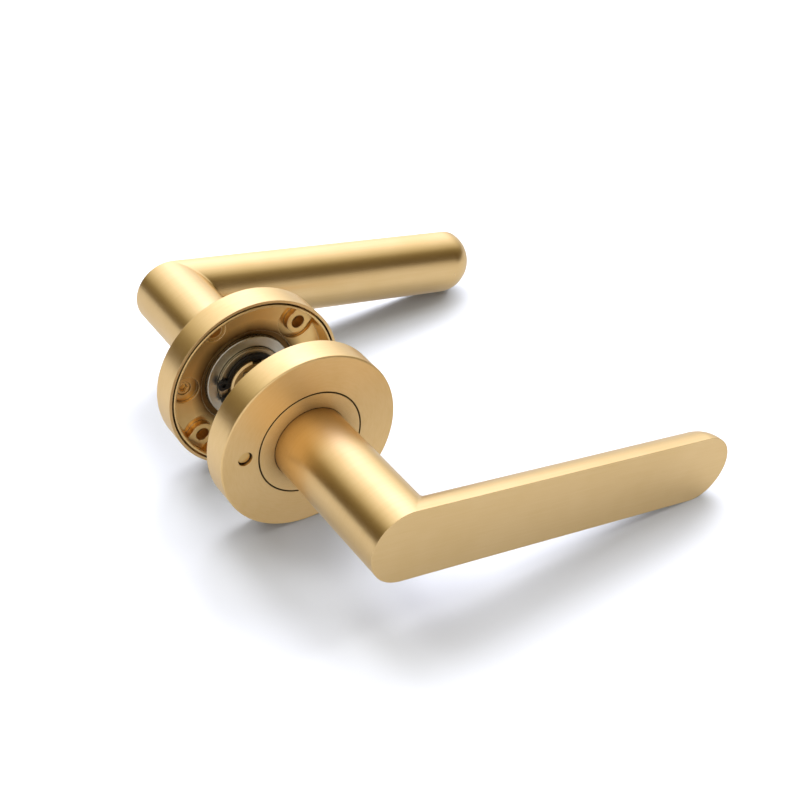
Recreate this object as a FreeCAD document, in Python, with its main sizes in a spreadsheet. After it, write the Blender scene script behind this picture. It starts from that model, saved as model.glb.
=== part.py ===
import FreeCAD, Part

import math
import os

from FreeCAD import Placement, Rotation, Vector

# A pair of door lever handles on round roses, joined by one square spindle.
#
# Row frame: the origin is on the spindle axis, midway between the two roses.
# +X runs along the levers to their tips, +Y along the spindle from the front
# half to the rear half, +Z up. Millimetres.
#
# Each half is modelled once, in a frame of its own: local Z is the distance
# from the door face outwards, local X runs along the lever. The halves are the
# same pieces turned round, except that the grub screw is underneath on both
# and the spanner hole in the cover is on the same side.

os.makedirs("parts", exist_ok=True)
doc = FreeCAD.newDocument("LeverHandleSet")

# ---------------------------------------------------------------- sizes

SIZES = {
    # Whole set
    "rose_gap": 21.5,
    "tip_reach": 110.4,
    "lever_face": 54.6,
    # Rose cover, measured from the door face
    "rose_radius": 26.0,
    "rose_top": 8.2,
    "cover_rim": 0.15,
    "cover_wall": 0.8,
    "cover_roof": 1.0,
    "cover_edge": 0.5,
    "cover_bore": 15.45,
    # Base plate
    "plate_radius": 24.7,
    "plate_edge": 0.2,
    "plate_seat": 3.5,
    "dish_mouth": 24.1,
    "dish_foot": 23.2,
    "dish_floor": 4.4,
    "moat_radius": 14.4,
    "moat_floor": 5.3,
    "cup_seat_radius": 12.85,
    "cup_seat_floor": 6.2,
    "plate_bore": 11.6,
    "flange_seat_radius": 16.7,
    "flange_seat": 6.7,
    # Fixing holes and bosses
    "fixing_circle": 20.5,
    "boss_angle": 52.0,
    "boss_radius": 3.4,
    "boss_top": 3.5,
    "boss_hole": 1.95,
    "pocket_radius": 5.6,
    "pocket_floor": 5.5,
    "land_width": 6.4,
    "screw_hole": 2.15,
    "screw_ring": 3.2,
    "screw_ring_floor": 4.7,
    # Spanner hole through the cover and the plate
    "spanner_circle": 19.2,
    "spanner_angle": 183.7,
    "spanner_hole": 2.05,
    "spanner_recess": 4.0,
    "spanner_recess_floor": 5.4,
    # Locking screw, whose flat end shows in the spanner hole
    "lock_radius": 1.97,
    "lock_foot": 5.7,
    "lock_end": 7.35,
    "lock_chamfer": 0.3,
    "lock_hex": 2.2,
    "lock_hex_depth": 1.1,
    # Collar ring
    "collar_radius": 15.0,
    "collar_bore": 10.68,
    "collar_flange": 16.6,
    "collar_flange_top": 7.15,
    # Nylon bush
    "bush_bore": 7.06,
    "bush_sleeve": 8.6,
    "bush_foot": 4.75,
    "bush_flange": 11.5,
    "stop_angle": 62.5,
    "stop_width": 2.4,
    "stop_reach": 9.6,
    # Spring housing
    "cup_radius": 12.8,
    "cup_bore": 9.9,
    "cup_face": 4.0,
    "cup_floor": 4.5,
    "cup_wall": 0.6,
    "cup_edge": 0.35,
    "anchor_width": 1.2,
    "anchor_reach": 11.4,
    # Return spring
    "wire": 0.65,
    "coil_radius": 10.6,
    "coil_foot": 4.98,
    "coil_pitch": 0.7,
    "coil_turns": 1.2,
    "leg_inner": 8.95,
    "leg_outer": 12.05,
    # Spring driver
    "driver_bore": 7.05,
    "driver_radius": 9.7,
    "driver_face": 3.6,
    "driver_top": 4.6,
    "ear_top": 6.1,
    "ear_width": 1.0,
    "ear_gap": 0.9,
    "ear_root": 8.8,
    "key_width": 2.9,
    "key_reach": 6.3,
    # Thrust washer and circlip
    "washer_radius": 9.5,
    "washer_bore": 7.15,
    "washer_face": 3.05,
    "washer_top": 3.55,
    "clip_face": 2.05,
    "clip_top": 2.95,
    "clip_bore": 6.4,
    "clip_radius": 8.1,
    "clip_offset": 0.4,
    "clip_gap_angle": 200.0,
    "clip_lug_angle": 18.0,
    "clip_lug_circle": 8.7,
    "clip_lug_radius": 1.7,
    "clip_lug_hole": 0.65,
    # Lever
    "neck_radius": 10.6,
    "neck_foot": 6.75,
    "strip": 0.7,
    "corner_fillet": 1.2,
    "hub_radius": 7.0,
    "hub_end": 0.8,
    "hub_chamfer": 0.5,
    "groove_radius": 6.35,
    "groove_face": 2.0,
    "groove_top": 3.0,
    "keyway_width": 3.0,
    "keyway_reach": 6.2,
    "keyway_top": 4.75,
    "socket": 8.1,
    "socket_depth": 50.3,
    # Grub screw
    "grub_place": 20.0,
    "grub_hole": 3.0,
    "grub_radius": 2.97,
    "grub_tip": 4.12,
    "grub_head": 10.0,
    "grub_hex": 3.0,
    "grub_hex_depth": 3.2,
    # Spindle
    "spindle_side": 8.0,
    "spindle_length": 110.0,
    "spindle_front": 50.75,
    "spindle_chamfer": 0.4,
}

sheet = doc.addObject("Spreadsheet::Sheet", "Sizes")
for row, (alias, value) in enumerate(SIZES.items(), start=1):
    sheet.set(f"A{row}", alias)
    sheet.set(f"B{row}", str(value))
    sheet.setAlias(f"B{row}", alias)
doc.recompute()

PAST = 5.0  # how far a cutting tool runs past the face it opens
SQUARE = 90.0
HALF_TURN = 180.0


def size(alias):
    """A driving dimension, read from the sheet."""
    return float(sheet.get(alias))


def bind(obj, **expressions):
    """Binds an object's properties to formulas of the sheet's cells."""
    for name, formula in expressions.items():
        words = []
        for word in formula.split():
            words.append(f"Sizes.{word}" if word in SIZES else word)
        obj.setExpression(name.replace("__", "."), " ".join(words))
    return obj


# ---------------------------------------------------------------- shape helpers


def cylinder(name, radius, low, high):
    """A cylinder about local Z, from low to high, each a formula of the sheet."""
    made = doc.addObject("Part::Cylinder", name)
    return bind(made, Radius=radius, Height=f"( {high} ) - ( {low} )", Placement__Base__z=low)


def cone(name, low_radius, high_radius, low, high):
    """A cone about local Z, from low to high."""
    made = doc.addObject("Part::Cone", name)
    bind(made, Radius1=low_radius, Radius2=high_radius)
    return bind(made, Height=f"( {high} ) - ( {low} )", Placement__Base__z=low)


def block(name, x, y, z):
    """A box; x, y and z are pairs of formulas, its low and high sides."""
    made = doc.addObject("Part::Box", name)
    for side, letter, (low, high) in zip(("Length", "Width", "Height"), "xyz", (x, y, z)):
        bind(made, **{side: f"( {high} ) - ( {low} )", f"Placement__Base__{letter}": low})
    return made


def turned(obj, degrees):
    """The same object turned about local Z; its own place turns with it."""
    doc.recompute()
    held = doc.addObject("Part::Compound", obj.Name + "_turned")
    held.Links = [obj]
    held.Placement = Placement(Vector(), Rotation(Vector(0, 0, 1), degrees))
    return held


def fused(name, pieces):
    made = doc.addObject("Part::MultiFuse", name)
    made.Shapes = pieces
    made.Refine = True
    return made


def cut(name, base, tools):
    """The base less every tool."""
    tool = tools[0]
    if len(tools) > 1:
        tool = fused(name + "_tools", tools)
    made = doc.addObject("Part::Cut", name)
    made.Base = base
    made.Tool = tool
    made.Refine = True
    return made


def ring(name, outer, inner, low, high):
    """A flat ring about local Z."""
    disc = cylinder(name + "_disc", outer, low, high)
    hole = cylinder(name + "_hole", inner, f"{low} - {PAST}", f"{high} + {PAST}")
    return cut(name, disc, [hole])


def edge_numbers(shape, wanted):
    """The numbers, from 1, of the edges whose middle point passes the test."""
    numbers = []
    for number, edge in enumerate(shape.Edges, start=1):
        middle = edge.valueAt((edge.FirstParameter + edge.LastParameter) / 2)
        if wanted(edge, middle):
            numbers.append(number)
    return numbers


def eased(kind, name, base, alias, wanted):
    """Part::Fillet or Part::Chamfer of the base's edges that pass the test."""
    doc.recompute()
    amount = size(alias)
    made = doc.addObject(kind, name)
    made.Base = base
    made.Edges = [(n, amount, amount) for n in edge_numbers(base.Shape, wanted)]
    return made


def on_circle(obj, circle, degrees):
    """Moves a round tool from the axis out to a place on a circle."""
    angle = math.radians(degrees)
    bind(obj, Placement__Base__x=f"{circle} * {math.cos(angle)}")
    bind(obj, Placement__Base__y=f"{circle} * {math.sin(angle)}")
    return obj


# ---------------------------------------------------------------- rose pieces


def rose_cover(side):
    """The visible disc: a shallow cap over the base plate."""
    half = side.name
    disc = cylinder(f"{half}_cover_disc", "rose_radius", "cover_rim", "rose_top")

    def front_edge(edge, middle):
        on_top = abs(middle.z - size("rose_top")) < 0.01
        return on_top and abs(math.hypot(middle.x, middle.y) - size("rose_radius")) < 0.01

    softened = eased("Part::Fillet", f"{half}_cover_soft", disc, "cover_edge", front_edge)
    inside = cylinder(
        f"{half}_cover_inside",
        "rose_radius - cover_wall",
        f"cover_rim - {PAST}",
        "rose_top - cover_roof",
    )
    bore = cylinder(f"{half}_cover_bore", "cover_bore", "0", f"rose_top + {PAST}")
    spanner = cylinder(f"{half}_cover_pin", "spanner_hole", "0", f"rose_top + {PAST}")
    on_circle(spanner, "spanner_circle", side.angle(size("spanner_angle")))
    return cut(f"{half}_cover_cut", softened, [inside, bore, spanner])


def boss(half, place, degrees):
    """One threaded boss with its land to the rim, pointing along local X."""
    pillar = cylinder(f"{half}_boss_{place}", "boss_radius", "boss_top", "moat_floor + 1")
    bind(pillar, Placement__Base__x="fixing_circle")
    land = block(
        f"{half}_land_{place}",
        ("fixing_circle", "dish_mouth + 0.2"),
        ("- land_width / 2", "land_width / 2"),
        ("boss_top", "moat_floor + 1"),
    )
    return turned(fused(f"{half}_boss_land_{place}", [pillar, land]), degrees)


def base_plate(side):
    """The dished plate that stands on the door, with two bosses and two holes."""
    half = side.name
    disc = cylinder(f"{half}_plate_disc", "plate_radius", "0", "rose_top - cover_roof")

    def door_edge(edge, middle):
        return abs(middle.z) < 0.01

    rimmed = eased("Part::Chamfer", f"{half}_plate_rim", disc, "plate_edge", door_edge)
    seat = cylinder(
        f"{half}_plate_seat",
        "rose_radius - cover_wall",
        "plate_seat",
        "rose_top - cover_roof",
    )
    dish = cone(f"{half}_dish", "dish_mouth", "dish_foot", "0", "dish_floor")
    moat = cylinder(f"{half}_moat", "moat_radius", "1", "moat_floor")
    cup_seat = cylinder(f"{half}_cup_seat", "cup_seat_radius", "1", "cup_seat_floor")
    bore = cylinder(f"{half}_plate_bore", "plate_bore", "1", f"rose_top + {PAST}")
    flange = cylinder(
        f"{half}_flange_seat", "flange_seat_radius", "flange_seat", f"rose_top + {PAST}"
    )
    pockets = []
    bosses = []
    holes = []
    for place, spin in (("upper", 0), ("lower", HALF_TURN)):
        boss_at = side.turn(size("boss_angle")) + spin
        screw_at = side.turn(HALF_TURN - size("boss_angle")) + spin
        pocket = cylinder(f"{half}_pocket_{place}", "pocket_radius", "1", "pocket_floor")
        pockets.append(on_circle(pocket, "fixing_circle", boss_at))
        bosses.append(boss(half, place, boss_at))
        tapped = cylinder(f"{half}_tapped_{place}", "boss_hole", "0", f"rose_top + {PAST}")
        holes.append(on_circle(tapped, "fixing_circle", boss_at))
        plain = cylinder(f"{half}_plain_{place}", "screw_hole", "0", f"rose_top + {PAST}")
        holes.append(on_circle(plain, "fixing_circle", screw_at))
        spot = cylinder(f"{half}_spot_{place}", "screw_ring", "1", "screw_ring_floor")
        holes.append(on_circle(spot, "fixing_circle", screw_at))
    pin_at = side.angle(size("spanner_angle"))
    recess = cylinder(f"{half}_pin_recess", "spanner_recess", "1", "spanner_recess_floor")
    on_circle(recess, "spanner_circle", pin_at)
    pin = cylinder(f"{half}_pin_hole", "spanner_hole", "0", f"rose_top + {PAST}")
    on_circle(pin, "spanner_circle", pin_at)

    hollow = cut(
        f"{half}_plate_hollow",
        fused(f"{half}_plate_blank", [rimmed, seat]),
        [dish, moat, cup_seat, recess, *pockets],
    )
    with_bosses = fused(f"{half}_plate_bossed", [hollow, *bosses])
    return cut(f"{half}_plate_cut", with_bosses, [bore, flange, pin, *holes])


def collar_ring(side):
    """The ring flush with the rose's face, which the neck turns in."""
    half = side.name
    face = cylinder(f"{half}_collar_face", "collar_radius", "flange_seat", "rose_top")
    flange = cylinder(
        f"{half}_collar_flange", "collar_flange", "flange_seat", "collar_flange_top"
    )
    bore = cylinder(f"{half}_collar_bore", "collar_bore", "0", f"rose_top + {PAST}")
    return cut(f"{half}_collar_cut", fused(f"{half}_collar_blank", [face, flange]), [bore])


def cover_screw(side):
    """The hex socket screw that locks the cover, driven from the door side."""
    half = side.name
    place = side.angle(size("spanner_angle"))
    shank = cylinder(f"{half}_lock_shank", "lock_radius", "lock_foot", "lock_end")
    on_circle(shank, "spanner_circle", place)

    def outer_end(edge, middle):
        return abs(middle.z - size("lock_end")) < 0.01

    chamfered = eased("Part::Chamfer", f"{half}_lock_tip", shank, "lock_chamfer", outer_end)
    key = doc.addObject("Part::Prism", f"{half}_lock_key")
    key.Polygon = 6
    bind(key, Circumradius="lock_hex / 3 ^ 0.5", Height=f"lock_hex_depth + {PAST}")
    bind(key, Placement__Base__z=f"lock_foot - {PAST}")
    on_circle(key, "spanner_circle", place)
    return cut(f"{half}_lock_cut", chamfered, [key])


def bearing_bush(side):
    """The nylon bush for the hub, with two stops that end the lever's travel."""
    half = side.name
    sleeve = cylinder(f"{half}_bush_sleeve", "bush_sleeve", "bush_foot", "flange_seat")
    flange = cylinder(f"{half}_bush_flange", "bush_flange", "cup_seat_floor", "flange_seat")
    stops = []
    for number, way in enumerate((1, -1), start=1):
        stop = block(
            f"{half}_stop_{number}",
            ("bush_bore + 0.5", "stop_reach"),
            ("- stop_width / 2", "stop_width / 2"),
            ("bush_foot", "flange_seat"),
        )
        stops.append(turned(stop, way * size("stop_angle")))
    bore = cylinder(f"{half}_bush_bore", "bush_bore", "0", f"rose_top + {PAST}")
    blank = fused(f"{half}_bush_blank", [sleeve, flange, *stops])
    return cut(f"{half}_bush_cut", blank, [bore])


def spring_leg_angle():
    """Where the coil ends, about local Z from the driver's ears."""
    return 360.0 * size("coil_turns")


def spring_housing(side):
    """The zinc cup that closes the spring in and anchors its outer leg."""
    half = side.name
    blank = cylinder(f"{half}_cup_blank", "cup_radius", "cup_face", "cup_seat_floor")

    def face_rim(edge, middle):
        on_face = abs(middle.z - size("cup_face")) < 0.01
        return on_face and abs(math.hypot(middle.x, middle.y) - size("cup_radius")) < 0.01

    cup = eased("Part::Fillet", f"{half}_cup_soft", blank, "cup_edge", face_rim)
    cavity = cylinder(
        f"{half}_cup_cavity", "cup_radius - cup_wall", "cup_floor", f"rose_top + {PAST}"
    )
    bore = cylinder(f"{half}_cup_bore", "cup_bore", "0", f"rose_top + {PAST}")
    shell = cut(f"{half}_cup_shell", cup, [cavity, bore])
    anchors = []
    for number, way in enumerate((1, -1), start=1):
        middle = f"{way} * ( wire / 2 + 0.1 + anchor_width / 2 )"
        anchor = block(
            f"{half}_anchor_{number}",
            ("anchor_reach", "cup_radius - 0.2"),
            (f"{middle} - anchor_width / 2", f"{middle} + anchor_width / 2"),
            ("cup_face + 0.2", "cup_seat_floor"),
        )
        anchors.append(turned(anchor, spring_leg_angle()))
    return fused(f"{half}_cup", [shell, *anchors])


def return_spring(side):
    """A torsion spring: its inner leg is in the driver, its outer one in the cup."""
    half = side.name
    radius = size("coil_radius")
    wire = size("wire") / 2
    foot = size("coil_foot")
    rise = size("coil_pitch") * size("coil_turns")
    helix = Part.makeHelix(size("coil_pitch"), rise, radius)
    section = Part.Wire(Part.makeCircle(wire, Vector(radius, 0, 0), Vector(0, 1, 0)))
    coil = Part.Wire(helix).makePipeShell([section], True, True)
    coil.translate(Vector(0, 0, foot))
    end = math.radians(spring_leg_angle())
    out = Vector(math.cos(end), math.sin(end), 0)
    start_point = Vector(radius, 0, foot)
    end_point = out * radius + Vector(0, 0, foot + rise)
    inner_leg = Part.makeCylinder(
        wire, radius - size("leg_inner"), start_point, Vector(-1, 0, 0)
    )
    outer_leg = Part.makeCylinder(wire, size("leg_outer") - radius, end_point, out)
    knees = [Part.makeSphere(wire, point) for point in (start_point, end_point)]
    made = doc.addObject("Part::Feature", f"{half}_spring_shape")
    made.Shape = coil.multiFuse([inner_leg, outer_leg, *knees])
    return made


# ---------------------------------------------------------------- handle pieces


def spring_driver(side):
    """The plate keyed to the hub; its two ears hold the spring's inner leg."""
    half = side.name
    plate = cylinder(f"{half}_driver_plate", "driver_radius", "driver_face", "driver_top")
    bore = cylinder(f"{half}_driver_bore", "driver_bore", "0", f"rose_top + {PAST}")
    ears = []
    for number, way in enumerate((1, -1), start=1):
        middle = f"{way} * ( ear_gap + ear_width ) / 2"
        ears.append(
            block(
                f"{half}_ear_{number}",
                ("ear_root", "driver_radius - 0.1"),
                (f"{middle} - ear_width / 2", f"{middle} + ear_width / 2"),
                ("driver_face + 0.2", "ear_top"),
            )
        )
    keys = []
    for number, way in enumerate((1, -1), start=1):
        key = block(
            f"{half}_key_{number}",
            ("key_reach", "driver_bore + 0.5"),
            ("- key_width / 2", "key_width / 2"),
            ("driver_face", "driver_top"),
        )
        keys.append(turned(key, way * SQUARE))
    hollow = cut(f"{half}_driver_hollow", plate, [bore])
    return fused(f"{half}_driver", [hollow, *ears, *keys])


def thrust_washer(side):
    return ring(
        f"{side.name}_washer", "washer_radius", "washer_bore", "washer_face", "washer_top"
    )


def circlip(side):
    """An external circlip: eccentric ring, open between two drilled lugs."""
    half = side.name
    gap_at = side.angle(size("clip_gap_angle"))
    body = cylinder(f"{half}_clip_body", "clip_radius", "clip_face", "clip_top")
    on_circle(body, "clip_offset", gap_at + HALF_TURN)
    lugs = []
    holes = []
    for number, way in enumerate((1, -1), start=1):
        at = gap_at + way * size("clip_lug_angle")
        lug = cylinder(f"{half}_lug_{number}", "clip_lug_radius", "clip_face", "clip_top")
        lugs.append(on_circle(lug, "clip_lug_circle", at))
        hole = cylinder(f"{half}_lug_hole_{number}", "clip_lug_hole", "0", "rose_top")
        holes.append(on_circle(hole, "clip_lug_circle", at))
    bore = cylinder(f"{half}_clip_bore", "clip_bore", "0", "rose_top")
    opening = block(
        f"{half}_clip_opening",
        ("0", "clip_radius * 2"),
        ("- clip_lug_radius * 0.75", "clip_lug_radius * 0.75"),
        ("0", "rose_top"),
    )
    blank = fused(f"{half}_clip_blank", [body, *lugs])
    return cut(f"{half}_clip_cut", blank, [bore, turned(opening, gap_at), *holes])


def lever(side):
    """Neck, flat-faced grip and turned-down hub, in one piece."""
    half = side.name
    strip_foot = "lever_face - strip"
    tip_centre = "tip_reach - neck_radius"
    neck = cylinder(f"{half}_neck", "neck_radius", "neck_foot", "lever_face")

    bar = doc.addObject("Part::Cylinder", f"{half}_grip_bar")
    bar.Placement = Placement(Vector(), Rotation(Vector(0, 1, 0), SQUARE))
    bind(bar, Radius="neck_radius", Height=tip_centre, Placement__Base__z=strip_foot)
    tip = doc.addObject("Part::Sphere", f"{half}_grip_tip")
    bind(tip, Radius="neck_radius", Placement__Base__x=tip_centre)
    bind(tip, Placement__Base__z=strip_foot)
    above = block(
        f"{half}_above_grip",
        (f"- {PAST} - neck_radius", f"tip_reach + {PAST}"),
        ("- neck_radius * 2", "neck_radius * 2"),
        (strip_foot, "lever_face + neck_radius"),
    )
    back = cut(f"{half}_grip_back", fused(f"{half}_grip_round", [bar, tip]), [above])
    face = block(
        f"{half}_grip_face",
        ("0", tip_centre),
        ("- neck_radius", "neck_radius"),
        (strip_foot, "lever_face"),
    )
    face_tip = cylinder(f"{half}_grip_face_tip", "neck_radius", strip_foot, "lever_face")
    bind(face_tip, Placement__Base__x=tip_centre)
    outside = fused(f"{half}_lever_outside", [neck, back, face, face_tip])

    def mitre(edge, middle):
        """The crease lies in the plane that halves the corner of neck and grip."""
        height = size("lever_face") - size("strip") - middle.z
        in_plane = abs(middle.x - height) < 0.01
        return in_plane and middle.x > 0.1 and middle.x < size("neck_radius") + 0.1

    eased_corner = eased(
        "Part::Fillet", f"{half}_lever_corner", outside, "corner_fillet", mitre
    )
    return cut(
        f"{half}_lever_cut",
        fused(f"{half}_lever_blank", [eased_corner, hub(side)]),
        [socket(side), grub_hole(side)],
    )


def hub(side):
    """The turned-down end that runs in the bush, grooved for the circlip."""
    half = side.name
    stub = cylinder(f"{half}_hub_stub", "hub_radius", "hub_end", "neck_foot + 1")

    def inner_end(edge, middle):
        at_end = abs(middle.z - size("hub_end")) < 0.01
        return at_end and abs(math.hypot(middle.x, middle.y) - size("hub_radius")) < 0.01

    chamfered = eased("Part::Chamfer", f"{half}_hub_end", stub, "hub_chamfer", inner_end)
    groove = ring(
        f"{half}_groove", "hub_radius + 1", "groove_radius", "groove_face", "groove_top"
    )
    keyways = []
    for number, way in enumerate((1, -1), start=1):
        keyway = block(
            f"{half}_keyway_{number}",
            ("keyway_reach", "hub_radius + 1"),
            ("- keyway_width / 2", "keyway_width / 2"),
            ("0", "keyway_top"),
        )
        keyways.append(turned(keyway, way * SQUARE))
    return cut(f"{half}_hub", chamfered, [groove, *keyways])


def socket(side):
    """The square hole for the spindle."""
    across = ("- socket / 2", "socket / 2")
    return block(f"{side.name}_socket", across, across, (f"- {PAST}", "socket_depth"))


def radial(obj, side, radius, low, high):
    """A cylinder across the neck, towards the underside, at the grub screw's place."""
    obj.Placement = Placement(Vector(), Rotation(Vector(1, 0, 0), -SQUARE * side.down))
    bind(obj, Radius=radius, Height=f"( {high} ) - ( {low} )")
    bind(obj, Placement__Base__y=f"{side.down} * ( {low} )", Placement__Base__z="grub_place")
    return obj


def grub_hole(side):
    hole = doc.addObject("Part::Cylinder", f"{side.name}_grub_hole")
    return radial(hole, side, "grub_hole", "0", f"neck_radius + {PAST}")


def grub_screw(side):
    """The socket grub screw that clamps the lever to the spindle."""
    half = side.name
    shank = doc.addObject("Part::Cylinder", f"{half}_grub_shank")
    radial(shank, side, "grub_radius", "grub_tip", "grub_head")
    key = doc.addObject("Part::Prism", f"{half}_grub_key")
    key.Polygon = 6
    key.Placement = Placement(Vector(), Rotation(Vector(1, 0, 0), -SQUARE * side.down))
    bind(key, Circumradius="grub_hex / 3 ^ 0.5", Height=f"grub_hex_depth + {PAST}")
    bind(key, Placement__Base__y=f"{side.down} * ( grub_head - grub_hex_depth )")
    bind(key, Placement__Base__z="grub_place")
    return cut(f"{half}_grub_cut", shank, [key])


def spindle():
    """One square bar from the front lever's socket into the rear lever's."""
    bar = doc.addObject("Part::Box", "spindle_bar")
    bind(bar, Length="spindle_side", Width="spindle_length", Height="spindle_side")
    bind(bar, Placement__Base__x="- spindle_side / 2", Placement__Base__z="- spindle_side / 2")
    bind(bar, Placement__Base__y="- spindle_front")

    def every_edge(edge, middle):
        return True

    return eased("Part::Chamfer", "spindle_eased", bar, "spindle_chamfer", every_edge)


# ---------------------------------------------------------------- assembly


class Side:
    """Where one half stands: which way it faces, and how its angles turn."""

    def __init__(self, name, facing):
        self.name = name
        self.facing = facing
        self.down = facing
        self.placement = Placement(
            Vector(0, facing * size("rose_gap") / 2, 0),
            Rotation(Vector(1, 0, 0), -facing * SQUARE),
        )

    def angle(self, degrees):
        """The local angle of a place given in the row's XZ plane."""
        return -self.facing * degrees

    def turn(self, degrees):
        """The local angle of a place given for the rear half, in either half."""
        return -degrees


PIECES = {
    "rose_cover": rose_cover,
    "base_plate": base_plate,
    "collar_ring": collar_ring,
    "cover_screw": cover_screw,
    "bearing_bush": bearing_bush,
    "spring_housing": spring_housing,
    "return_spring": return_spring,
    "spring_driver": spring_driver,
    "thrust_washer": thrust_washer,
    "circlip": circlip,
    "lever": lever,
    "grub_screw": grub_screw,
}

nodes = []
for half_name, facing in (("front", -1), ("rear", 1)):
    half_side = Side(half_name, facing)
    for piece_name, make in PIECES.items():
        piece = make(half_side)
        piece.Label = f"{half_name}_{piece_name}"
        piece.Placement = half_side.placement
        nodes.append(piece)
bar_piece = spindle()
bar_piece.Label = "spindle"
nodes.append(bar_piece)
doc.recompute()

# ---------------------------------------------------------------- checks and export

for obj in doc.Objects:
    if "Invalid" in obj.State or "Error" in obj.State:
        raise RuntimeError(f"{obj.Label} did not recompute: {obj.State}")

for node in nodes:
    shape = node.Shape
    if shape.isNull() or not shape.isValid() or len(shape.Solids) != 1:
        raise RuntimeError(f"{node.Label} is not one valid solid")
    if shape.Volume <= 0:
        raise RuntimeError(f"{node.Label} has no volume")

for node in nodes:
    node.Shape.exportStep(f"parts/{node.Label}.step")
    print(f"{node.Label}: {node.Shape.Volume:.1f} mm3")
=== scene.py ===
import math

import bpy
from mathutils import Matrix, Vector


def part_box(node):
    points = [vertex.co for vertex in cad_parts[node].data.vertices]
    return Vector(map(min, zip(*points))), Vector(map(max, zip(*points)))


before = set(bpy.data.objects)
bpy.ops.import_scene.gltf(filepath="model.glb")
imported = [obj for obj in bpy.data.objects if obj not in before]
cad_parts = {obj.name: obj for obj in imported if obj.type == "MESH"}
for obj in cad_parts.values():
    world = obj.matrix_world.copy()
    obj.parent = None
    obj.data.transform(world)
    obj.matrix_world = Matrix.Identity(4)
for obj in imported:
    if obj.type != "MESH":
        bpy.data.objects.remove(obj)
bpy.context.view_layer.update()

# A pair of satin brass lever handles, lying on a white surface: both roses' rims
# and both levers' tips touch it. Metres, in the row frame: +X along the levers,
# +Y along the spindle from the front half to the rear half, +Z up.

MM = 0.001
scene = bpy.context.scene

# ---------------------------------------------------------------- measures read from the frame


def node_size(node):
    """A CAD node's lowest corner, highest corner and size."""
    low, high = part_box(node)
    return low, high, high - low


COVER_LOW, _, COVER_SIZE = node_size("front_rose_cover")
LEVER_LOW, LEVER_HIGH, LEVER_SIZE = node_size("front_lever")
ROSE_RADIUS = COVER_SIZE.z / 2
NECK_RADIUS = LEVER_SIZE.z / 2
ROSE_FACE = -COVER_LOW.y  # the roses' outer faces, on both sides
TIP_REACH = LEVER_HIGH.x
GRIP_FACE = -LEVER_LOW.y  # the grips' flat faces stand this far out along Y, on both sides
STRIP = 0.7 * MM  # straight edge of the grip beside its flat face

# The surface leans on the roses' rims and the levers' round tips.
LEAN = math.asin((ROSE_RADIUS - NECK_RADIUS) / (TIP_REACH - NECK_RADIUS))
FLOOR_NORMAL = Vector((-math.sin(LEAN), 0, math.cos(LEAN)))

# ---------------------------------------------------------------- node helpers


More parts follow.
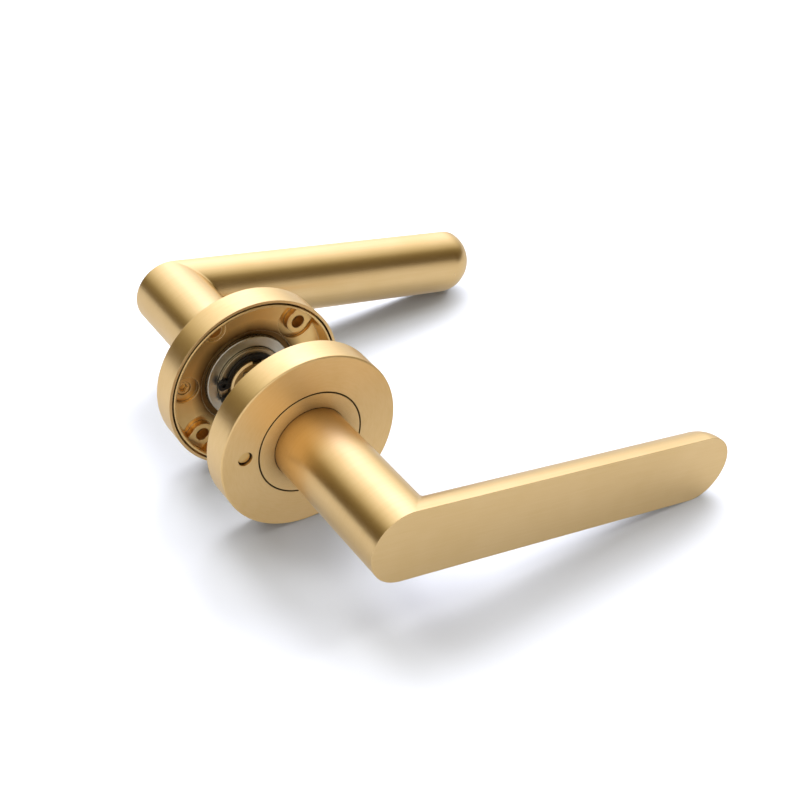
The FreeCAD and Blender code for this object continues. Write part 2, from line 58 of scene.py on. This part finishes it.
class Nodes:
    """Short ways to add and join shader nodes of one tree."""

    def __init__(self, tree):
        self.tree = tree
        tree.nodes.clear()

    def add(self, kind, **settings):
        node = self.tree.nodes.new(kind)
        for name, value in settings.items():
            setattr(node, name, value)
        return node

    def join(self, out, into):
        self.tree.links.new(out, into)

    def feed(self, socket, value):
        """A socket gets a constant or another node's output."""
        if isinstance(value, bpy.types.NodeSocket):
            self.join(value, socket)
        else:
            socket.default_value = value

    def math(self, operation, *values):
        node = self.add("ShaderNodeMath", operation=operation)
        for socket, value in zip(node.inputs, values):
            self.feed(socket, value)
        return node.outputs[0]

    def vector(self, operation, *values):
        node = self.add("ShaderNodeVectorMath", operation=operation)
        for socket, value in zip(node.inputs, values):
            self.feed(socket, value)
        return node.outputs["Value" if operation in ("DOT_PRODUCT", "LENGTH") else "Vector"]

    def combine(self, x, y, z):
        node = self.add("ShaderNodeCombineXYZ")
        for socket, value in zip(node.inputs, (x, y, z)):
            self.feed(socket, value)
        return node.outputs[0]

    def split(self, vector):
        node = self.add("ShaderNodeSeparateXYZ")
        self.join(vector, node.inputs[0])
        return node.outputs

    def ramp(self, value, stops):
        """A smooth colour ramp; stops are (place, colour)."""
        node = self.add("ShaderNodeValToRGB")
        node.color_ramp.interpolation = "EASE"
        elements = node.color_ramp.elements
        while len(elements) > len(stops):
            elements.remove(elements[-1])
        while len(elements) < len(stops):
            elements.new(1.0)
        for element, (place, colour) in zip(elements, stops):
            element.position = place
            element.color = (*colour, 1.0)
        self.feed(node.inputs[0], value)
        return node.outputs[0]

    def scale_range(self, value, low, high, to_low, to_high):
        node = self.add("ShaderNodeMapRange", clamp=True)
        for socket, given in zip(node.inputs, (value, low, high, to_low, to_high)):
            self.feed(socket, given)
        return node.outputs[0]

    def noise(self, vector, scale, detail=3.0, roughness=0.55):
        node = self.add("ShaderNodeTexNoise")
        self.feed(node.inputs["Vector"], vector)
        node.inputs["Scale"].default_value = scale
        node.inputs["Detail"].default_value = detail
        node.inputs["Roughness"].default_value = roughness
        return node.outputs["Fac"]

    def mix(self, factor, first, second):
        node = self.add("ShaderNodeMix", data_type="FLOAT")
        for socket, value in ((node.inputs[0], factor), (node.inputs[2], first), (node.inputs[3], second)):
            self.feed(socket, value)
        return node.outputs[0]

    def mix_vector(self, factor, first, second):
        node = self.add("ShaderNodeMix", data_type="VECTOR")
        for socket, value in ((node.inputs[0], factor), (node.inputs[4], first), (node.inputs[5], second)):
            self.feed(socket, value)
        return node.outputs[1]

    def mix_colour(self, factor, first, second):
        node = self.add("ShaderNodeMix", data_type="RGBA")
        self.feed(node.inputs["Factor"], factor)
        for socket, colour in ((node.inputs[6], first), (node.inputs[7], second)):
            self.feed(socket, (*colour, 1.0) if isinstance(colour, tuple) else colour)
        return node.outputs[2]

    def mix_shader(self, factor, first, second):
        node = self.add("ShaderNodeMixShader")
        for socket, value in zip(node.inputs, (factor, first, second)):
            self.join(value, socket)
        return node.outputs[0]

    def openness(self, reach, samples):
        """Near 1 where nothing is within reach, lower in gaps and corners."""
        node = self.add("ShaderNodeAmbientOcclusion", samples=samples)
        node.inputs["Distance"].default_value = reach
        return node

    def relief(self, height, strength, normal=None):
        """The surface's normal with a fine relief on it."""
        node = self.add("ShaderNodeBump")
        node.inputs["Strength"].default_value = strength
        node.inputs["Distance"].default_value = RELIEF_DEPTH
        self.join(height, node.inputs["Height"])
        if normal is not None:
            self.join(normal, node.inputs["Normal"])
        return node.outputs[0]

    def surface(self, shader):
        self.join(shader, self.add("ShaderNodeOutputMaterial").inputs["Surface"])


def new_material(name):
    material = bpy.data.materials.new(name)
    material.use_nodes = True
    return material, Nodes(material.node_tree)


# ---------------------------------------------------------------- metals

BRASS = (0.83, 0.60, 0.305)
BRASS_DEEP = (0.79, 0.56, 0.265)
# The covers' and collars' brass is lighter than the lever's: the lighter colour paints in brightness their
# faces get from the light.
TURNED_BRASS_LIGHTENED = (0.91, 0.655, 0.33)
TURNED_DEEP_LIGHTENED = (0.87, 0.615, 0.29)
INNER_BRASS = (0.90, 0.62, 0.26)
ZINC = (0.66, 0.65, 0.58)
STRAW = (0.62, 0.54, 0.40)
INNER_DEEP = (0.84, 0.56, 0.22)
ZINC_DEEP = (0.57, 0.56, 0.49)
STRAW_DEEP = (0.54, 0.45, 0.30)
BAR_DEEP = (0.50, 0.46, 0.38)
WIRE = (0.42, 0.41, 0.39)
WIRE_DEEP = (0.30, 0.29, 0.27)

EDGE_ROUND = 0.18 * MM
EDGE_WEAR_HIGHLIGHT = 0.35  # share of the lighter tone on an edge: partly wear, partly painted highlight
EDGE_TURN = (0.995, 0.86)  # how far the rounded normal turns on a flat and on an edge, as cosines
EDGE_POLISH = 0.06  # taken off an edge's roughness
# The base plate's edges are rounder and take more of the lighter tone, partly painted highlight.
PLATE_EDGE_ROUND = 0.4 * MM
PLATE_EDGE_WEAR_HIGHLIGHT = 0.6
# The lighter edge tone: partly wear, partly painted highlight.
WORN_HIGHLIGHT = (0.95, 0.76, 0.44)

# Painted shade: narrow gaps are darkened towards this near-black tone, by how closed they are.
GAP_SHADE_TONE = (0.020, 0.006, 0.002)
GAP_SHADE_REACH = 0.6 * MM
GAP_SHADE_OPEN = (0.60, 0.42)  # openness where the painted gap shade starts and where it is full
# Painted shade in corners: a wider, softer darkening towards a brown tone.
CORNER_REACH = 6 * MM
CORNER_SHADE_TONE = (0.30, 0.17, 0.06)
CORNER_SHADE = (0.45, 0.92, 0.25, 1.0)  # openness in a corner and clear of it, and how much of the metal's own tone each keeps under the painted shade
CUP_SHADE_RADII = (14.8 * MM, 18.0 * MM)  # radii where the painted shade round the cup starts to fade and ends
CUP_SHADE_TONE = (0.08, 0.035, 0.006)
CUP_SHADE_WEIGHT = 0.93
CUP_SHADE_WANDER = 0.4 * MM

RELIEF_DEPTH = 0.02 * MM
LINE_SCALE = 4000.0  # brushed lines, each a few hundredths of a millimetre wide
BLUR_ACROSS = 0.25  # a quarter turn, so highlights are drawn out across the tangent
POLE_REACH = 1.0 * MM  # the facets of a lever's round end meet in a point, this far round it


def finish_metal(n, colour, grain, lines, roughness, spread, bump, anisotropy=0.0, tangent=None,
                 blur_turn=0.0, edge_round=EDGE_ROUND, edge_wear_highlight=EDGE_WEAR_HIGHLIGHT, corners=False, gaps=1.0,
                 plain_at=None):
    """Joins a metal: grain varies its roughness, lines make the fine relief.

    Highlights are drawn out along the tangent, or across it if blur_turn is a quarter. Edges
    take a lighter tone, partly wear and partly painted highlight. Narrow gaps get painted shade by
    the share in gaps, and corners get painted shade if asked for. The mesh's own facets are used
    where plain_at is 1.
    """
    geometry = n.add("ShaderNodeNewGeometry")
    # Painted shade in narrow gaps, by how open they are.
    gap_shade = n.scale_range(n.openness(GAP_SHADE_REACH, 4).outputs["AO"], *GAP_SHADE_OPEN, 0.0, gaps)
    bevel = n.add("ShaderNodeBevel", samples=4)
    bevel.inputs["Radius"].default_value = edge_round
    rounded = bevel.outputs[0]
    if plain_at is not None:
        rounded = n.mix_vector(plain_at, rounded, geometry.outputs["True Normal"])
    turned_away = n.vector("DOT_PRODUCT", rounded, geometry.outputs["Normal"])
    edge = n.scale_range(turned_away, *EDGE_TURN, 0.0, 1.0)

    shader = n.add("ShaderNodeBsdfPrincipled")
    shader.inputs["Metallic"].default_value = 1.0
    shader.inputs["Anisotropic"].default_value = anisotropy
    if tangent is not None:
        n.join(tangent, shader.inputs["Tangent"])
        shader.inputs["Anisotropic Rotation"].default_value = blur_turn
    # Edges take the lighter tone: partly wear, partly painted highlight.
    tone = n.mix_colour(n.math("MULTIPLY", edge, edge_wear_highlight), colour, WORN_HIGHLIGHT)
    # Painted shade in corners.
    if corners:
        clean = n.scale_range(n.openness(CORNER_REACH, 4).outputs["AO"], *CORNER_SHADE)
        tone = n.mix_colour(clean, CORNER_SHADE_TONE, tone)
    # The painted gap shade goes over the metal's tone.
    n.join(n.mix_colour(gap_shade, tone, GAP_SHADE_TONE), shader.inputs["Base Color"])
    varied = n.math("ADD", roughness, n.scale_range(grain, 0.25, 0.75, -spread, spread))
    polished = n.math("SUBTRACT", varied, n.math("MULTIPLY", edge, EDGE_POLISH))
    n.join(polished, shader.inputs["Roughness"])
    n.join(n.relief(lines, bump, rounded), shader.inputs["Normal"])
    n.surface(shader.outputs[0])


def two_tones(n, cloud, grain, colour, deep):
    """Wide clouds and fine grain between a colour and its deeper tone."""
    tone = n.math("ADD", n.math("MULTIPLY", cloud, 0.6), n.math("MULTIPLY", grain, 0.4))
    return n.mix_colour(n.scale_range(tone, 0.35, 0.65, 0.0, 1.0), colour, deep)


def turned_metal(name, colour, deep, rim_roughness, face_roughness, anisotropy, bump, corners=False):
    """Metal with fine rings about the spindle axis, as brushing on a lathe leaves."""
    material, n = new_material(name)
    place = n.add("ShaderNodeTexCoord").outputs["Object"]
    x, y, z = n.split(place)
    radius = n.math("SQRT", n.math("ADD", n.math("MULTIPLY", x, x), n.math("MULTIPLY", z, z)))
    turn = n.math("ARCTAN2", z, x)
    rings = n.combine(n.math("MULTIPLY", turn, 0.0007), radius, y)
    lines = n.noise(rings, LINE_SCALE, detail=5.0, roughness=0.65)
    cloud = n.noise(place, 90.0, detail=2.0)
    arcs = n.combine(n.math("MULTIPLY", turn, 0.004), radius, y)
    grain = n.noise(arcs, 1800.0, detail=2.0)
    shade = two_tones(n, cloud, grain, colour, deep)
    normal = n.add("ShaderNodeNewGeometry").outputs["Normal"]
    facing = n.vector("DOT_PRODUCT", normal, (0.0, 1.0, 0.0))
    roughness = n.scale_range(n.math("ABSOLUTE", facing), 0.4, 0.9, rim_roughness, face_roughness)
    tangent = n.add("ShaderNodeTangent", direction_type="RADIAL", axis="Y")
    finish_metal(n, shade, grain, lines, roughness, 0.03, bump, anisotropy, tangent.outputs[0],
                 BLUR_ACROSS, corners=corners)
    return material


def lever_brass(name, facing):
    """Brass brushed about the neck and along the grip."""
    material, n = new_material(name)
    place = n.add("ShaderNodeTexCoord").outputs["Object"]
    x, y, z = n.split(place)
    out_along = n.math("MULTIPLY", y, float(facing))
    past_mitre = n.math("ADD", n.math("SUBTRACT", out_along, GRIP_FACE - STRIP), x)
    on_grip = n.math("GREATER_THAN", past_mitre, 0.0)
    on_face = n.math("GREATER_THAN", out_along, GRIP_FACE - 0.05 * MM)
    along_x = n.math("MAXIMUM", on_grip, on_face)
    radius = n.vector("LENGTH", n.combine(x, 0.0, z))
    turn = n.math("ARCTAN2", z, x)

    def brushed(scale, stretch, detail):
        """Noise drawn out along the brushing of whichever part the point is on."""
        grip = n.noise(n.combine(n.math("MULTIPLY", x, stretch), y, z), scale, detail, 0.65)
        around = n.combine(n.math("MULTIPLY", turn, stretch * NECK_RADIUS), y, radius)
        return n.mix(along_x, n.noise(around, scale, detail, 0.65), grip)

    lines = brushed(LINE_SCALE, 0.02, 5.0)
    grain = brushed(1500.0, 0.04, 2.0)
    cloud = n.noise(place, 70.0, detail=2.0)
    shade = two_tones(n, cloud, grain, BRASS, BRASS_DEEP)
    # The lever's painted gap shade is kept to the part near the rose.
    at_rose = n.math("LESS_THAN", out_along, ROSE_FACE + CORNER_REACH)
    past_pole = n.math("SUBTRACT", x, TIP_REACH - NECK_RADIUS)
    from_pole = n.vector("LENGTH", n.combine(past_pole, 0.0, z))
    at_pole = n.math("LESS_THAN", from_pole, POLE_REACH)
    direction = n.add("ShaderNodeVectorTransform", vector_type="VECTOR",
                      convert_from="OBJECT", convert_to="WORLD")
    n.join(n.combine(along_x, n.math("SUBTRACT", 1.0, along_x), 0.0), direction.inputs[0])
    # The lever gets painted shade in its corners.
    finish_metal(n, shade, grain, lines, 0.30, 0.02, 0.12, 0.45, direction.outputs[0],
                 corners=True, gaps=at_rose, plain_at=at_pole)
    return material


def cast_metal(name, colour, deep, roughness, bump, cup_shade=None, edge_round=EDGE_ROUND,
               edge_wear_highlight=EDGE_WEAR_HIGHLIGHT):
    """Blasted or cast metal: an even fine grain with no direction.

    The painted shade round the cup darkens from a dark radius about the spindle axis out to clear metal.
    """
    material, n = new_material(name)
    place = n.add("ShaderNodeTexCoord").outputs["Object"]
    fine = n.noise(place, 1400.0, detail=4.0, roughness=0.7)
    cloud = n.noise(place, 160.0, detail=2.0)
    shade = n.mix_colour(n.scale_range(cloud, 0.35, 0.65, 0.0, 1.0), colour, deep)
    # Painted shade on the base plate round the cup, with a wandering edge.
    if cup_shade is not None:
        radius = n.vector("LENGTH", n.vector("MULTIPLY", place, (1.0, 0.0, 1.0)))
        edge = n.math("ADD", radius, n.scale_range(cloud, 0.3, 0.7, -CUP_SHADE_WANDER, CUP_SHADE_WANDER))
        shade = n.mix_colour(n.scale_range(edge, *cup_shade, CUP_SHADE_WEIGHT, 0.0), shade, CUP_SHADE_TONE)
    finish_metal(n, shade, cloud, fine, roughness, 0.04, bump, edge_round=edge_round, edge_wear_highlight=edge_wear_highlight)
    return material


def black_steel(name):
    """Phosphated spring steel: dark, a little oily."""
    material, n = new_material(name)
    place = n.add("ShaderNodeTexCoord").outputs["Object"]
    cloud = n.noise(place, 700.0, detail=3.0)
    shader = n.add("ShaderNodeBsdfPrincipled")
    n.join(n.mix_colour(cloud, (0.012, 0.012, 0.013), (0.04, 0.038, 0.036)), shader.inputs["Base Color"])
    n.join(n.scale_range(cloud, 0.3, 0.7, 0.32, 0.5), shader.inputs["Roughness"])
    shader.inputs["Metallic"].default_value = 0.6
    n.join(n.relief(n.noise(place, 3000.0), 0.2), shader.inputs["Normal"])
    n.surface(shader.outputs[0])
    return material


def nylon(name):
    """Natural nylon, slightly waxy."""
    material, n = new_material(name)
    place = n.add("ShaderNodeTexCoord").outputs["Object"]
    cloud = n.noise(place, 300.0)
    shader = n.add("ShaderNodeBsdfPrincipled")
    n.join(n.mix_colour(cloud, (0.80, 0.78, 0.70), (0.70, 0.67, 0.58)), shader.inputs["Base Color"])
    n.join(n.scale_range(cloud, 0.3, 0.7, 0.42, 0.55), shader.inputs["Roughness"])
    shader.inputs["Subsurface Weight"].default_value = 0.08
    shader.inputs["Subsurface Scale"].default_value = 0.5 * MM
    n.surface(shader.outputs[0])
    return material


def give(node, material):
    """A CAD node keeps its shape and takes this material in every slot."""
    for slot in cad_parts[node].material_slots:
        slot.material = material


def dress_nodes():
    """Every CAD node keeps its shape and takes one finish."""
    # The last True puts painted shade in the corners of the covers and collars.
    visible_brass = (TURNED_BRASS_LIGHTENED, TURNED_DEEP_LIGHTENED, 0.31, 0.48, 0.50, 0.16, True)
    cover = turned_metal("cover_brass", *visible_brass)
    collar = turned_metal("collar_brass", *visible_brass)
    # The base plate takes painted shade round the cup and lighter edges, partly painted highlight.
    plate = cast_metal("plate_brass_blasted", INNER_BRASS, INNER_DEEP, 0.32, 0.10,
                       CUP_SHADE_RADII, PLATE_EDGE_ROUND, PLATE_EDGE_WEAR_HIGHLIGHT)
    zinc = turned_metal("zinc_turned", ZINC, ZINC_DEEP, 0.28, 0.30, 0.3, 0.05)
    straw = turned_metal("straw_plated", STRAW, STRAW_DEEP, 0.33, 0.33, 0.3, 0.06)
    bar = cast_metal("spindle_plated", STRAW, BAR_DEEP, 0.36, 0.10)
    wire = cast_metal("spring_wire", WIRE, WIRE_DEEP, 0.3, 0.05)
    black = black_steel("phosphated_steel")
    white = nylon("natural_nylon")
    for half, facing in (("front", -1), ("rear", 1)):
        give(f"{half}_rose_cover", cover)
        give(f"{half}_collar_ring", collar)
        give(f"{half}_base_plate", plate)
        give(f"{half}_spring_housing", zinc)
        give(f"{half}_thrust_washer", straw)
        give(f"{half}_spring_driver", straw)
        give(f"{half}_return_spring", wire)
        give(f"{half}_circlip", black)
        give(f"{half}_grub_screw", black)
        give(f"{half}_bearing_bush", white)
        give(f"{half}_lever", lever_brass(f"{half}_lever_brass", facing))
        give(f"{half}_cover_screw", plate)
    give("spindle", bar)


# ---------------------------------------------------------------- camera

CAMERA_TARGET = Vector((42.76, 0.0, -6.34)) * MM
CAMERA_DISTANCE = 398.07 * MM
CAMERA_AZIMUTH = math.radians(-40.28)
CAMERA_ELEVATION = math.radians(30.40)
CAMERA_ROLL = math.radians(12.49)
CAMERA_LENS = 61.87
SENSOR = 36.0


def place_camera():
    """Looks down at the set from the front and the left, as the row frame has it."""
    azimuth, elevation = CAMERA_AZIMUTH, CAMERA_ELEVATION
    back = Vector((
        math.sin(azimuth) * math.cos(elevation),
        -math.cos(azimuth) * math.cos(elevation),
        math.sin(elevation),
    ))
    level = Vector((math.cos(azimuth), math.sin(azimuth), 0))
    upright = back.cross(level)
    right = level * math.cos(CAMERA_ROLL) + upright * math.sin(CAMERA_ROLL)
    up = upright * math.cos(CAMERA_ROLL) - level * math.sin(CAMERA_ROLL)
    data = bpy.data.cameras.new("camera")
    data.lens = CAMERA_LENS
    data.sensor_width = SENSOR
    data.clip_start = 0.01
    data.clip_end = 10.0
    camera = bpy.data.objects.new("camera", data)
    scene.collection.objects.link(camera)
    turn = Matrix((right, up, back)).transposed()
    camera.matrix_world = Matrix.Translation(CAMERA_TARGET + back * CAMERA_DISTANCE) @ turn.to_4x4()
    scene.camera = camera
    return back


# ---------------------------------------------------------------- floor and light

FLOOR_HALF = 2.0
FLOOR_GAP = 0.02 * MM
FLOOR_SEEN = (0.770, 0.795, 0.860)  # as the camera sees it: lit to just over white where nothing shades it
FLOOR_MIRRORED = (0.27, 0.27, 0.27)  # as the metal reflects it
FLOOR_GLOW = 0.30  # light the wide white sheet adds to what the metal reflects
SUNK = 0.03  # sine of the downward turn past which the floor is clear
CLEAR_LEAN = (0, 40)  # the way the clear floor's shade is cast from
CLEAR_REACH = 90 * MM
CLEAR_SHADE = (0.2, 0.9, 0.35, 1.0)  # openness in the shade and out of it, and how light each is
SUN_SPREAD = math.radians(22)
# Each light's lean from the floor's normal in degrees, along the levers and along the spindle,
# and its strength.
SUNS = {
    "right_rear": (50, 35, 0.94),
    "rear_right": (30, 35, 0.96),
    "rear": (0, 45, 1.04),
    "top": (0, 15, 0.51),
    "rear_left": (-30, 35, 0.51),
    "right": (50, 0, 0.79),
}


def floor_frame():
    """The surface's own axes: along the levers, along the spindle, its normal."""
    along = Vector((math.cos(LEAN), 0, math.sin(LEAN)))
    return Matrix((along, Vector((0, 1, 0)), FLOOR_NORMAL)).transposed()


def toward_light(along, across):
    """The way to a light that leans from the floor's normal by these angles in degrees."""
    lean = Vector((math.tan(math.radians(along)), math.tan(math.radians(across)), 1.0))
    return floor_frame() @ lean.normalized()


def lever_sink(n):
    """The sine of the levers' downward turn: where a point lies in the lever's own frame, against
    where it lies in the row frame, about the spindle.
    """
    own = n.add("ShaderNodeTexCoord", object=bpy.data.objects["front_lever"])
    lever_x, _, lever_z = n.split(own.outputs["Object"])
    x, _, z = n.split(n.add("ShaderNodeNewGeometry").outputs["Position"])
    cross = n.math("SUBTRACT", n.math("MULTIPLY", x, lever_z), n.math("MULTIPLY", z, lever_x))
    square = n.math("ADD", n.math("MULTIPLY", x, x), n.math("MULTIPLY", z, z))
    return n.math("DIVIDE", cross, square)


def make_floor():
    """A white surface under the roses' rims.

    With the levers level or raised it is lit and shaded as it is. When they are turned down
    through it, it is clear but for its shade, so they still show. From below it is clear too.
    """
    corners = [(-1, -1), (1, -1), (1, 1), (-1, 1)]
    turn = floor_frame()
    foot = FLOOR_NORMAL * -(ROSE_RADIUS + FLOOR_GAP)
    mesh = bpy.data.meshes.new("floor")
    points = [turn @ Vector((x * FLOOR_HALF, y * FLOOR_HALF, 0)) + foot for x, y in corners]
    mesh.from_pydata(points, [], [(0, 1, 2, 3)])
    floor = bpy.data.objects.new("floor", mesh)
    scene.collection.objects.link(floor)

    material, n = new_material("floor_white")
    open_to_light = n.openness(CLEAR_REACH, 8)
    n.join(n.combine(*toward_light(*CLEAR_LEAN)), open_to_light.inputs["Normal"])
    shade = n.scale_range(open_to_light.outputs["AO"], *CLEAR_SHADE)
    clear = n.add("ShaderNodeBsdfTransparent")
    n.join(n.combine(shade, shade, shade), clear.inputs["Color"])
    seen = n.add("ShaderNodeBsdfDiffuse")
    seen.inputs["Color"].default_value = (*FLOOR_SEEN, 1.0)
    sunk = n.math("GREATER_THAN", lever_sink(n), SUNK)
    to_camera = n.mix_shader(sunk, seen.outputs[0], clear.outputs[0])

    lit = n.add("ShaderNodeBsdfDiffuse")
    lit.inputs["Color"].default_value = (*FLOOR_MIRRORED, 1.0)
    glow = n.add("ShaderNodeEmission")
    glow.inputs["Strength"].default_value = FLOOR_GLOW
    mirrored = n.add("ShaderNodeAddShader")
    n.join(lit.outputs[0], mirrored.inputs[0])
    n.join(glow.outputs[0], mirrored.inputs[1])
    path = n.add("ShaderNodeLightPath").outputs
    dim = n.add("ShaderNodeMixShader")  # black to light from the floor itself, so its shade isn't tinted
    n.join(n.math("GREATER_THAN", path["Diffuse Depth"], 0.5), dim.inputs[0])
    n.join(mirrored.outputs[0], dim.inputs[1])
    above = n.mix_shader(path["Is Camera Ray"], dim.outputs[0], to_camera)

    from_below = n.add("ShaderNodeNewGeometry").outputs["Backfacing"]
    n.surface(n.mix_shader(from_below, above, n.add("ShaderNodeBsdfTransparent").outputs[0]))
    mesh.materials.append(material)
    floor.visible_shadow = False


def make_suns():
    """Soft lights that the floor's shadows come from; the metal mirrors the studio instead."""
    for name, (along, across, strength) in SUNS.items():
        data = bpy.data.lights.new(name, "SUN")
        data.energy = strength
        data.angle = SUN_SPREAD
        sun = bpy.data.objects.new(name, data)
        scene.collection.objects.link(sun)
        sun.rotation_euler = toward_light(along, across).to_track_quat("Z", "Y").to_euler()
        sun.visible_glossy = False


# The studio by the cosine of the angle from the middle of its softbox: bright and neutral
# there, dark and warm away from it.
STUDIO = [
    (-1.00, (0.030, 0.019, 0.003)),
    (0.10, (0.030, 0.019, 0.003)),
    (0.30, (0.042, 0.029, 0.007)),
    (0.48, (0.085, 0.068, 0.030)),
    (0.64, (0.250, 0.235, 0.180)),
    (0.80, (0.410, 0.410, 0.390)),
    (0.92, (0.570, 0.570, 0.610)),
    (1.00, (0.800, 0.800, 1.0)),
]
STUDIO_STRENGTH = 2.7
SOFTBOX_AZIMUTH = math.radians(-5)  # from straight ahead of the camera, left is negative
SOFTBOX_HEIGHT = math.radians(45)
FILL_AZIMUTH = math.radians(180)
FILL_HEIGHT = math.radians(22)
FILL_STRENGTH = 0.9
FILL_EDGE = (0.50, 0.85)  # cosines from its middle where the fill starts and where it is full
SIDE_AZIMUTH = math.radians(112)
SIDE_STRENGTH = 0.65
SIDE_EDGE = (0.93, 0.99)
BELOW_STRENGTH = 0.5
BELOW_EDGE = (-0.02, -0.08)
BY_METAL = 0.15  # share kept of the light that only reaches the surface by way of the metal


def make_world(view_back):
    """A softbox behind and above the set, weaker lights behind the camera and at its right, and
    one from under the surface. The camera itself sees plain white.
    """
    ahead = -(view_back - FLOOR_NORMAL * view_back.dot(FLOOR_NORMAL)).normalized()
    aside = ahead.cross(FLOOR_NORMAL)

    def toward(azimuth, height):
        level = ahead * math.cos(azimuth) + aside * math.sin(azimuth)
        return tuple(level * math.cos(height) + FLOOR_NORMAL * math.sin(height))

    world = bpy.data.worlds.new("studio")
    world.use_nodes = True
    scene.world = world
    n = Nodes(world.node_tree)
    direction = n.add("ShaderNodeTexCoord").outputs["Generated"]
    near_box = n.vector("DOT_PRODUCT", direction, toward(SOFTBOX_AZIMUTH, SOFTBOX_HEIGHT))
    stops = [((place + 1) / 2, colour) for place, colour in STUDIO]
    softbox = n.ramp(n.scale_range(near_box, -1.0, 1.0, 0.0, 1.0), stops)
    softbox = n.vector("MULTIPLY", softbox, (STUDIO_STRENGTH,) * 3)
    near_fill = n.vector("DOT_PRODUCT", direction, toward(FILL_AZIMUTH, FILL_HEIGHT))
    fill = n.scale_range(near_fill, *FILL_EDGE, 0.0, FILL_STRENGTH)
    height = n.vector("DOT_PRODUCT", direction, tuple(FLOOR_NORMAL))
    under = n.scale_range(height, *BELOW_EDGE, 0.0, BELOW_STRENGTH)
    near_side = n.vector("DOT_PRODUCT", direction, toward(SIDE_AZIMUTH, 0.0))
    side = n.scale_range(near_side, *SIDE_EDGE, 0.0, SIDE_STRENGTH)
    extra = n.math("ADD", n.math("ADD", fill, side), under)
    light = n.vector("ADD", softbox, n.combine(extra, extra, extra))
    studio = n.add("ShaderNodeBackground")
    n.join(light, studio.inputs["Color"])
    path = n.add("ShaderNodeLightPath").outputs
    past_floor = n.math("GREATER_THAN", path["Diffuse Depth"], 0.5)
    by_metal = n.math("MULTIPLY", path["Is Glossy Ray"], past_floor)
    n.join(n.scale_range(by_metal, 0.0, 1.0, 1.0, BY_METAL), studio.inputs["Strength"])
    plain = n.add("ShaderNodeBackground")
    plain.inputs["Color"].default_value = (1, 1, 1, 1)
    seen = n.mix_shader(path["Is Camera Ray"], studio.outputs[0], plain.outputs[0])
    n.join(seen, n.add("ShaderNodeOutputWorld").inputs["Surface"])


# ---------------------------------------------------------------- build

scene.view_settings.view_transform = "Standard"
view_back = place_camera()
dress_nodes()
make_floor()
make_suns()
make_world(view_back)
